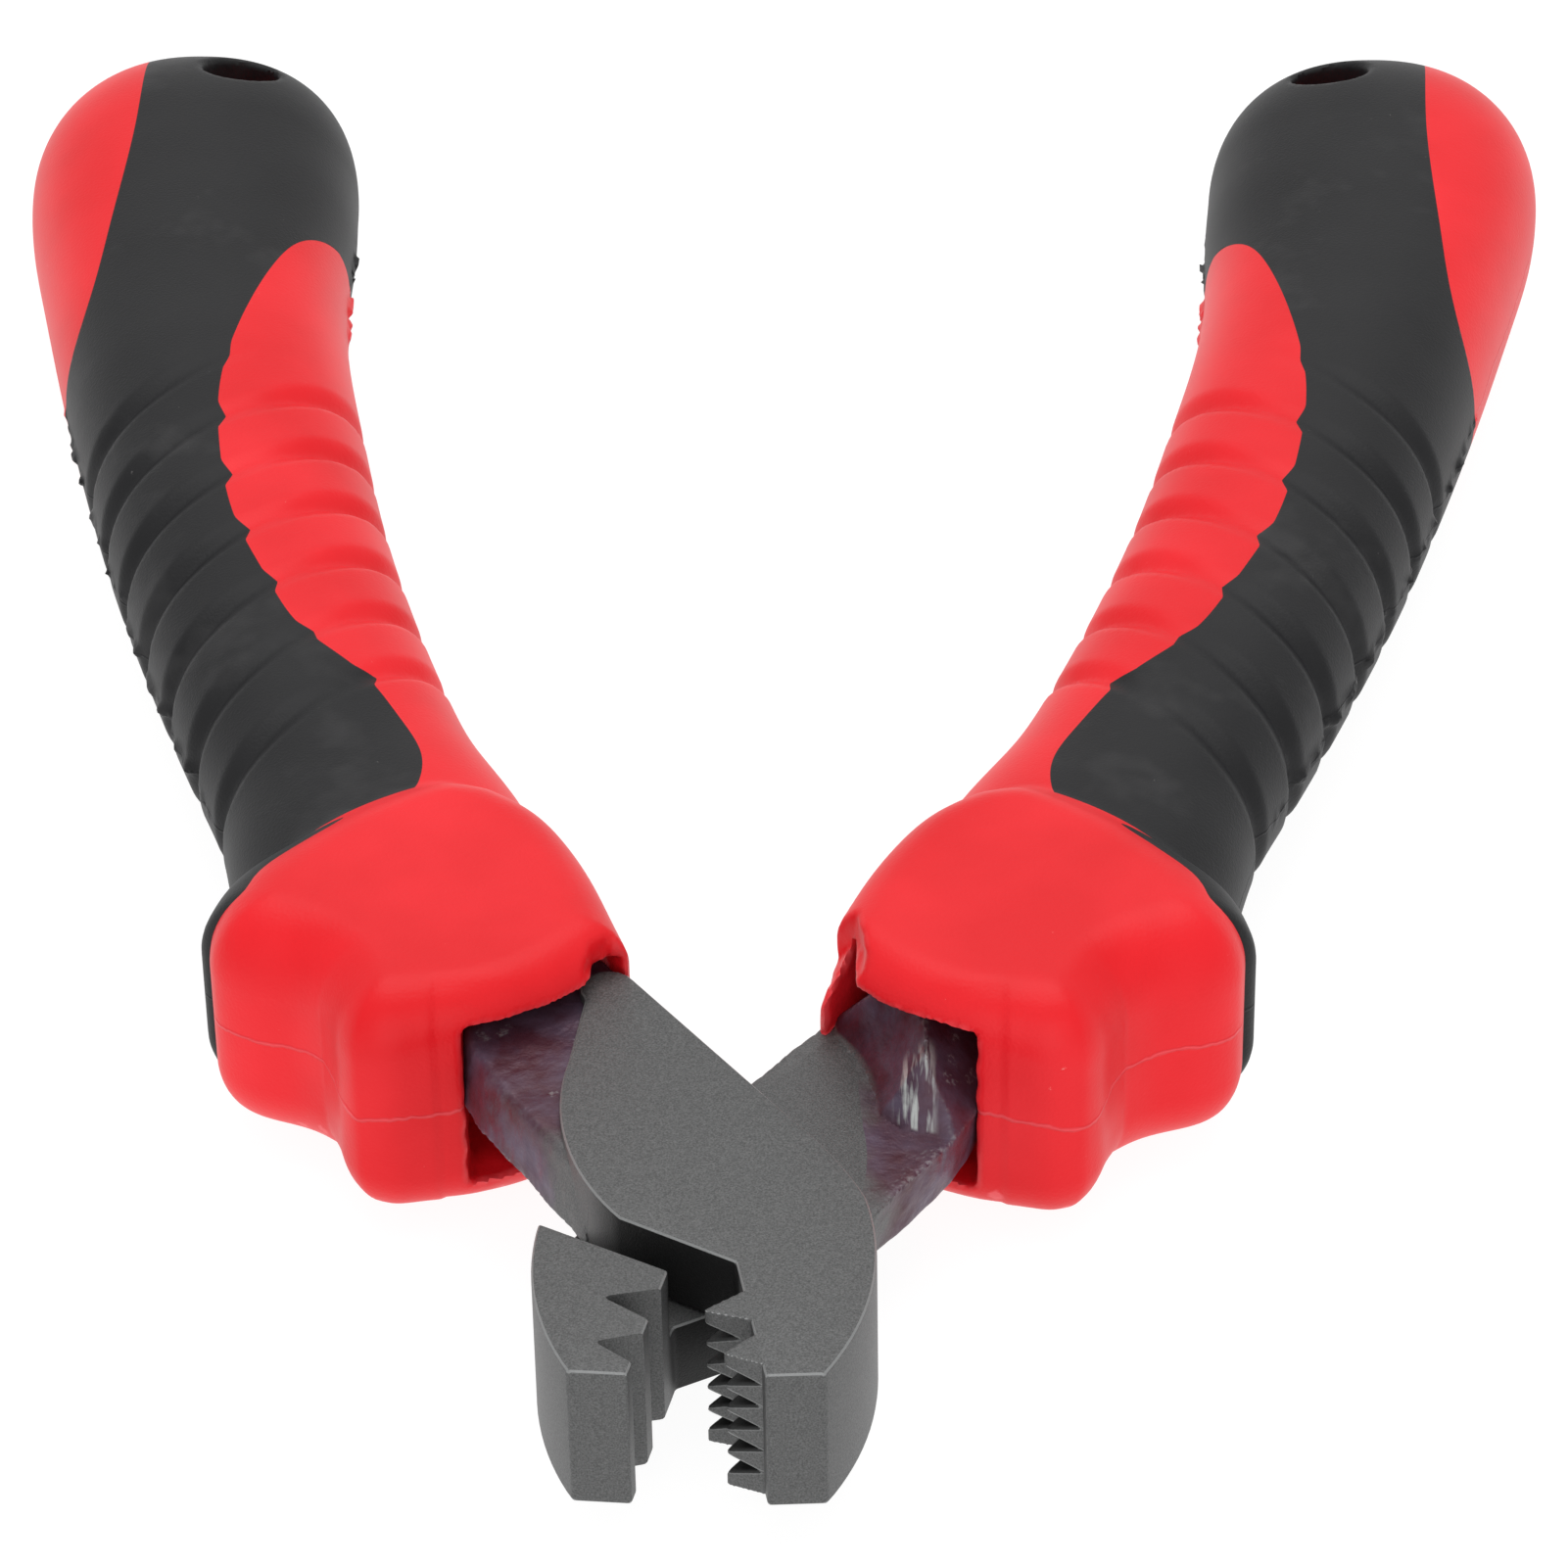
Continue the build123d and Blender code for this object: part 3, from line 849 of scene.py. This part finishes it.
def left_lever(name, with_teeth):
    """Left arm, upper plate and right jaw, with teeth or with nests."""
    steel = [ground_steel(), forged_skin()]

    def in_steel(piece):
        for material in steel:
            piece.data.materials.append(material)
        return piece

    def change(tool, operation):
        combine(head, tool, operation)
        discard(tool)

    head = in_steel(head_body(name))
    rough_arm = in_steel(mesh_object("arm", *surface_of(arm, *ARM_BOX, ARM_STEP)))
    all_forged = np.ones(len(rough_arm.data.polygons), np.int32)
    rough_arm.data.polygons.foreach_set("material_index", all_forged)
    change(rough_arm, "UNION")
    change(in_steel(prism("tail", arm_tail_outline(), -TAIL_HALF_HEIGHT, TAIL_HALF_HEIGHT)), "UNION")
    if with_teeth:
        change(in_steel(mesh_object("teeth", *surface_of(teeth, *TEETH_BOX, TOOTH_STEP))), "UNION")
    else:
        for place in NESTS:
            change(nest(*place), "DIFFERENCE")
    change(in_steel(prism("bore", rivet_outline(), -THROUGH, THROUGH)), "DIFFERENCE")
    return head


# ================================================================ materials
def new_material(name):
    material = bpy.data.materials.new(name)
    material.use_nodes = True
    nodes = material.node_tree.nodes
    shader = nodes["Principled BSDF"]
    return material, nodes, material.node_tree.links, shader


def noise_node(nodes, links, place, scale, detail=3.0, rough=0.5):
    node = nodes.new("ShaderNodeTexNoise")
    node.inputs["Scale"].default_value = scale
    node.inputs["Detail"].default_value = detail
    node.inputs["Roughness"].default_value = rough
    links.new(place, node.inputs["Vector"])
    return node.outputs["Fac"]


def ramp_node(nodes, links, value, low, high, dark=(0, 0, 0, 1), light=(1, 1, 1, 1)):
    node = nodes.new("ShaderNodeValToRGB")
    node.color_ramp.elements[0].position = low
    node.color_ramp.elements[1].position = high
    node.color_ramp.elements[0].color = dark
    node.color_ramp.elements[1].color = light
    links.new(value, node.inputs["Fac"])
    return node.outputs["Color"]


def mix_node(nodes, links, share, first, second):
    node = nodes.new("ShaderNodeMix")
    node.data_type = "RGBA"
    sockets = {s.identifier: s for s in node.inputs}
    for value, name in ((share, "Factor_Float"), (first, "A_Color"), (second, "B_Color")):
        if isinstance(value, tuple):
            sockets[name].default_value = value
        else:
            links.new(value, sockets[name])
    return next(s for s in node.outputs if s.identifier == "Result_Color")


def bump_node(nodes, links, height, distance, strength=1.0, under=None):
    node = nodes.new("ShaderNodeBump")
    node.inputs["Distance"].default_value = distance
    node.inputs["Strength"].default_value = strength
    links.new(height, node.inputs["Height"])
    if under is not None:
        links.new(under, node.inputs["Normal"])
    return node.outputs["Normal"]


def object_place(nodes):
    return nodes.new("ShaderNodeTexCoord").outputs["Object"]


def from_pivot(nodes, links):
    """Distance from the pivot along each axis, in millimetres."""
    shift = nodes.new("ShaderNodeVectorMath")
    shift.operation = "SUBTRACT"
    shift.inputs[1].default_value = PIVOT
    links.new(object_place(nodes), shift.inputs[0])
    scale = nodes.new("ShaderNodeVectorMath")
    scale.operation = "SCALE"
    scale.inputs["Scale"].default_value = 1 / MM
    links.new(shift.outputs["Vector"], scale.inputs[0])
    split = nodes.new("ShaderNodeSeparateXYZ")
    links.new(scale.outputs["Vector"], split.inputs["Vector"])
    return split.outputs["X"], split.outputs["Y"], split.outputs["Z"]


def math_node(nodes, links, operation, first, second=0.0):
    node = nodes.new("ShaderNodeMath")
    node.operation = operation
    for value, socket in ((first, node.inputs[0]), (second, node.inputs[1])):
        if isinstance(value, (float, int)):
            socket.default_value = value
        else:
            links.new(value, socket)
    return node.outputs["Value"]


def multiply(nodes, links, first, second):
    return math_node(nodes, links, "MULTIPLY", first, second)


def size_of(nodes, links, value):
    return math_node(nodes, links, "ABSOLUTE", value)


def tint(nodes, links, colour, mask, strength, towards):
    """Moves a colour part of the way to another where the mask is 1."""
    return mix_node(nodes, links, multiply(nodes, links, mask, strength), colour, towards)


def fade_node(nodes, links, value, full, none):
    """1 where the value is at or past full, 0 where it is at or past none."""
    node = nodes.new("ShaderNodeMapRange")
    node.interpolation_type = "SMOOTHSTEP"
    node.inputs["From Min"].default_value = min(full, none)
    node.inputs["From Max"].default_value = max(full, none)
    node.inputs["To Min"].default_value = 1.0 if full < none else 0.0
    node.inputs["To Max"].default_value = 0.0 if full < none else 1.0
    links.new(value, node.inputs["Value"])
    return node.outputs["Result"]


def scuffs(nodes, links, scale, low, high):
    """Sparse small marks, 1 in a mark."""
    marks = noise_node(nodes, links, object_place(nodes), scale, detail=4.0, rough=0.7)
    return ramp_node(nodes, links, marks, low, high)


def parting_line(nodes, links, half_width):
    """1 on the wavy line where the two halves of the mould met."""
    height = from_pivot(nodes, links)[2]
    wave = noise_node(nodes, links, object_place(nodes), 160.0, detail=4.0, rough=0.6)
    shift = multiply(nodes, links, math_node(nodes, links, "SUBTRACT", wave, 0.5), 2.2)
    gap = size_of(nodes, links, math_node(nodes, links, "ADD", height, shift))
    return fade_node(nodes, links, gap, 0.0, half_width)


def red_plastic():
    material, nodes, links, shader = new_material("red_plastic")
    place = object_place(nodes)
    cloud = noise_node(nodes, links, place, 90.0)
    grain = noise_node(nodes, links, place, 5200.0, detail=2.0)
    deep = (0.72, 0.005, 0.010, 1)
    bright = (0.84, 0.015, 0.023, 1)
    colour = ramp_node(nodes, links, cloud, 0.35, 0.7, deep, bright)
    line = parting_line(nodes, links, 0.16)
    # painted highlight: the raised parting line is lightened as well as bumped
    colour = tint(nodes, links, colour, line, 0.55, (0.9, 0.10, 0.12, 1))
    pale = scuffs(nodes, links, 1400.0, 0.72, 0.77)
    colour = tint(nodes, links, colour, pale, 0.45, (0.85, 0.35, 0.32, 1))
    # painted highlight: thin edges and lips are lightened towards pale red, as if catching the light
    thin = ramp_node(nodes, links, pointiness(nodes), 0.525, 0.61)
    along = from_pivot(nodes, links)[1]
    thin = multiply(nodes, links, thin, fade_node(nodes, links, along, 18.5, 20.5))
    colour = tint(nodes, links, colour, thin, 0.5, (0.9, 0.15, 0.17, 1))
    links.new(colour, shader.inputs["Base Color"])
    shader.inputs["Roughness"].default_value = 0.42
    shader.inputs["Specular IOR Level"].default_value = 0.25
    raised = bump_node(nodes, links, line, 0.00012, 0.7)
    links.new(bump_node(nodes, links, grain, 0.00003, 0.6, under=raised), shader.inputs["Normal"])
    return material


def black_rubber():
    material, nodes, links, shader = new_material("black_rubber")
    place = object_place(nodes)
    cloud = noise_node(nodes, links, place, 120.0)
    grain = noise_node(nodes, links, place, 6500.0, detail=2.0)
    colour = ramp_node(nodes, links, cloud, 0.3, 0.75, (0.010, 0.010, 0.011, 1), (0.016, 0.016, 0.017, 1))
    dust = scuffs(nodes, links, 1500.0, 0.72, 0.77)
    colour = tint(nodes, links, colour, dust, 0.35, (0.35, 0.34, 0.33, 1))
    rubbed = scuffs(nodes, links, 75.0, 0.56, 0.72)
    colour = tint(nodes, links, colour, rubbed, 0.05, (0.40, 0.39, 0.39, 1))
    links.new(colour, shader.inputs["Base Color"])
    shader.inputs["Roughness"].default_value = 0.5
    shader.inputs["Specular IOR Level"].default_value = 0.22
    line = parting_line(nodes, links, 0.12)
    raised = bump_node(nodes, links, line, 0.00010, 0.6)
    links.new(bump_node(nodes, links, grain, 0.00004, 0.6, under=raised), shader.inputs["Normal"])
    return material


def steel_colour(nodes, links):
    """Fine blasted grain, light and dark, and its height."""
    grain = noise_node(nodes, links, object_place(nodes), 11000.0, detail=2.0, rough=0.5)
    dark = (0.072, 0.073, 0.073, 1)
    light = (0.142, 0.143, 0.143, 1)
    return ramp_node(nodes, links, grain, 0.33, 0.70, dark, light), grain


def pointiness(nodes):
    """Over a half on outward edges and under a half in hollows."""
    return nodes.new("ShaderNodeNewGeometry").outputs["Pointiness"]


def facing_up(nodes, links):
    """How much the surface faces up, from -1 to 1."""
    split = nodes.new("ShaderNodeSeparateXYZ")
    links.new(nodes.new("ShaderNodeNewGeometry").outputs["Normal"], split.inputs["Vector"])
    return split.outputs["Z"]


def painted_shade(nodes, links):
    """Painted shade: 1 on the walls round the joint and on the upper sides of the grooves between teeth,
    darkened as if in shadow.
    """
    x, y, z = from_pivot(nodes, links)
    upward = facing_up(nodes, links)
    upright = fade_node(nodes, links, size_of(nodes, links, upward), 0.2, 0.6)
    squares = math_node(nodes, links, "ADD", multiply(nodes, links, x, x), multiply(nodes, links, y, y))
    radius = math_node(nodes, links, "SQRT", squares)
    near_joint = fade_node(nodes, links, radius, 8.3, 9.3)
    near_joint = multiply(nodes, links, near_joint, fade_node(nodes, links, y, -4.0, -0.5))
    beside = fade_node(nodes, links, size_of(nodes, links, x), 4.6, 7.2)
    joint = multiply(nodes, links, upright, multiply(nodes, links, near_joint, beside))
    below_top = fade_node(nodes, links, z, 3.7, 4.0)
    ledge = multiply(nodes, links, fade_node(nodes, links, upward, 0.45, 0.2), below_top)
    in_teeth = multiply(nodes, links, fade_node(nodes, links, y, -8.6, -8.0),
                        fade_node(nodes, links, size_of(nodes, links, x), 4.5, 5.0))
    return math_node(nodes, links, "MAXIMUM", joint, multiply(nodes, links, ledge, in_teeth))


def painted_edge_highlight(nodes, links):
    """Painted highlight: 1 on the bevels, which lean but neither face up nor stand upright."""
    lean = size_of(nodes, links, facing_up(nodes, links))
    return multiply(nodes, links, fade_node(nodes, links, lean, 0.35, 0.12),
                    fade_node(nodes, links, lean, 0.82, 0.96))


def ground_steel():
    material, nodes, links, shader = new_material("ground_steel")
    colour, grain = steel_colour(nodes, links)
    # painted highlight: the bevels are lightened as if catching the light
    colour = tint(nodes, links, colour, painted_edge_highlight(nodes, links), 0.5, (0.42, 0.43, 0.43, 1))
    # painted shade: the walls round the joint and the groove sides between teeth are darkened nearly to
    # black
    colour = tint(nodes, links, colour, painted_shade(nodes, links), 0.88, (0.003, 0.003, 0.003, 1))
    links.new(colour, shader.inputs["Base Color"])
    shader.inputs["Metallic"].default_value = 0.6
    shader.inputs["Roughness"].default_value = 0.5
    links.new(bump_node(nodes, links, grain, 0.00004, 0.6), shader.inputs["Normal"])
    return material


def scratch_and_highlight_streaks(nodes, links):
    """Thin bright scratches that run along the arm, which also serve as a painted highlight streak."""
    stretch = nodes.new("ShaderNodeVectorMath")
    stretch.operation = "MULTIPLY"
    stretch.inputs[1].default_value = (1.0, 0.12, 0.12)
    links.new(object_place(nodes), stretch.inputs[0])
    lines = noise_node(nodes, links, stretch.outputs["Vector"], 2600.0, detail=3.0, rough=0.6)
    return ramp_node(nodes, links, lines, 0.47, 0.60)


def scratch_and_highlight_patch(nodes, links):
    """1 on the scratches of the milled wall, halfway between the plate and the guard; they also serve as a
    painted highlight along the crest.
    """
    x, y, z = from_pivot(nodes, links)
    off_centre = math_node(nodes, links, "SUBTRACT", size_of(nodes, links, x), 10.0)
    patch = fade_node(nodes, links, size_of(nodes, links, off_centre), 0.5, 1.3)
    patch = multiply(nodes, links, patch, fade_node(nodes, links, y, 10.6, 12.0))
    patch = multiply(nodes, links, patch, fade_node(nodes, links, y, 7.4, 6.0))
    milled = fade_node(nodes, links, multiply(nodes, links, x, z), 2.0, 0.0)
    patch = multiply(nodes, links, patch, milled)
    return multiply(nodes, links, patch, scratch_and_highlight_streaks(nodes, links))


def bare_steel(nodes, links, cloud):
    """1 where the grinder took the skin off: on the lap face and beside the plate."""
    x, y, z = from_pivot(nodes, links)
    haze = multiply(nodes, links, math_node(nodes, links, "SUBTRACT", cloud, 0.5), 5.0)
    beside = math_node(nodes, links, "ADD", size_of(nodes, links, x), haze)
    flat = fade_node(nodes, links, size_of(nodes, links, z), 0.10, 0.35)
    lap_face = multiply(nodes, links, flat, fade_node(nodes, links, beside, 5.9, 8.3))
    ahead = math_node(nodes, links, "ADD", y, haze)
    return math_node(nodes, links, "MAXIMUM", lap_face, fade_node(nodes, links, ahead, 1.2, 3.4))


def forged_skin():
    """Dark purple heat-treated skin of the forging, waxy, with painted highlight dots on its edges and a
    patch of scratches that doubles as a painted highlight.
    """
    material, nodes, links, shader = new_material("forged_skin")
    place = object_place(nodes)
    cloud = noise_node(nodes, links, place, 300.0, detail=4.0, rough=0.55)
    lumps = noise_node(nodes, links, place, 1300.0, detail=3.0, rough=0.55)
    colour = ramp_node(nodes, links, cloud, 0.36, 0.68, (0.062, 0.015, 0.026, 1), (0.100, 0.072, 0.115, 1))
    # painted highlight: sharp edges and creases are lightened in dots, as if glinting
    edge = ramp_node(nodes, links, pointiness(nodes), 0.518, 0.57)
    highlight_dots = ramp_node(nodes, links, noise_node(nodes, links, place, 3500.0, detail=2.0), 0.45, 0.62)
    # the painted highlight dots and the scratch and highlight patch lighten the skin towards pale grey
    edge_glint_and_scratch = multiply(nodes, links, multiply(nodes, links, edge, highlight_dots), 0.3)
    # scratches and painted highlight: the streak patch on the milled wall is lightened
    edge_glint_and_scratch = math_node(nodes, links, "MAXIMUM", edge_glint_and_scratch, scratch_and_highlight_patch(nodes, links))
    colour = mix_node(nodes, links, edge_glint_and_scratch, colour, (0.46, 0.48, 0.47, 1))
    bare = bare_steel(nodes, links, cloud)
    steel = steel_colour(nodes, links)[0]
    links.new(mix_node(nodes, links, bare, colour, steel), shader.inputs["Base Color"])
    shine = ramp_node(nodes, links, lumps, 0.3, 0.7, (0.34, 0.34, 0.34, 1), (0.5, 0.5, 0.5, 1))
    links.new(mix_node(nodes, links, bare, shine, (0.5, 0.5, 0.5, 1)), shader.inputs["Roughness"])
    shader.inputs["Metallic"].default_value = 0.3
    links.new(bump_node(nodes, links, lumps, 0.00014, 0.6), shader.inputs["Normal"])
    return material


# ================================================================ scene
def add_camera():
    data = bpy.data.cameras.new("camera")
    data.lens = LENS
    data.sensor_width = SENSOR
    data.clip_start = 0.01
    pitch = radians(CAMERA_PITCH)
    yaw = radians(CAMERA_YAW)
    roll = radians(CAMERA_ROLL)
    forward = Vector((sin(yaw) * cos(pitch), cos(yaw) * cos(pitch), -sin(pitch)))
    level = Vector((cos(yaw), -sin(yaw), 0))
    down = forward.cross(level)
    right = cos(roll) * level + sin(roll) * down
    up = sin(roll) * level - cos(roll) * down
    turn = Matrix((right, up, -forward)).transposed().to_4x4()
    camera = bpy.data.objects.new("camera", data)
    camera.matrix_world = Matrix.Translation(PIVOT + Vector(CAMERA_FROM_PIVOT) * MM) @ turn
    bpy.context.collection.objects.link(camera)
    bpy.context.scene.camera = camera


def add_light(name, place, size, power):
    """A square soft box that faces the middle of the tool."""
    data = bpy.data.lights.new(name, "AREA")
    data.shape = "SQUARE"
    data.size = size
    data.energy = power
    lamp = bpy.data.objects.new(name, data)
    lamp.location = place
    lamp.rotation_euler = (-Vector(place)).to_track_quat("-Z", "Y").to_euler()
    bpy.context.collection.objects.link(lamp)


def add_floor():
    half = 1.5
    corners = [(-half, -half, 0), (half, -half, 0), (half, half, 0), (-half, half, 0)]
    mesh = bpy.data.meshes.new("floor")
    mesh.from_pydata(corners, [], [(0, 1, 2, 3)])
    floor = bpy.data.objects.new("floor", mesh)
    bpy.context.collection.objects.link(floor)
    material, *_, shader = new_material("floor")
    shader.inputs["Base Color"].default_value = (0.14, 0.14, 0.14, 1)
    shader.inputs["Emission Color"].default_value = (1, 1, 1, 1)
    shader.inputs["Emission Strength"].default_value = 0.93
    shader.inputs["Roughness"].default_value = 0.9
    shader.inputs["Specular IOR Level"].default_value = 0.1
    mesh.materials.append(material)


def add_world():
    world = bpy.data.worlds.new("world")
    world.use_nodes = True
    world.node_tree.nodes["Background"].inputs["Color"].default_value = (1, 1, 1, 1)
    world.node_tree.nodes["Background"].inputs["Strength"].default_value = 0.72
    bpy.context.scene.world = world


def finish_piece(piece, material, body, node):
    piece.data.materials.clear()
    piece.data.materials.append(material)
    shade_by_angle(piece, 48)
    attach(piece, body)
    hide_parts(node)


def shade_by_angle(piece, degrees):
    piece.data.shade_smooth()
    piece.data.set_sharp_from_angle(angle=radians(degrees))


def make_levers():
    upper = left_lever("upper_steel", with_teeth=True)
    other = left_lever("other", with_teeth=False)
    lower = turned_over(other, "lower_steel")
    discard(other)
    for piece, body, node in ((upper, "upper_half", "upper_lever"), (lower, "lower_half", "lower_lever")):
        shade_by_angle(piece, 28)
        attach(piece, body)
        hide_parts(node)
    pin = prism("rivet_pin", rivet_outline(), -HEAD_HALF, HEAD_HALF)
    finish_piece(pin, ground_steel(), "upper_half", "pivot_rivet")


def make_grips():
    red = red_plastic()
    black = black_rubber()
    core, soft = left_grip_pieces()
    right_core = turned_over(core, "right_core")
    right_soft = turned_over(soft, "right_overmould")
    finish_piece(core, red, "upper_half", "left_grip_core")
    finish_piece(soft, black, "upper_half", "left_grip_overmould")
    finish_piece(right_core, red, "lower_half", "right_grip_core")
    finish_piece(right_soft, black, "lower_half", "right_grip_overmould")


add_camera()
add_world()
add_floor()
add_light("top_light", (0.0, 0.25, 0.9), 0.8, 4.0)
add_light("front_light", (0.0, -0.8, 0.35), 0.8, 2.1)
bpy.context.scene.view_settings.view_transform = "Standard"
make_grips()
make_levers()
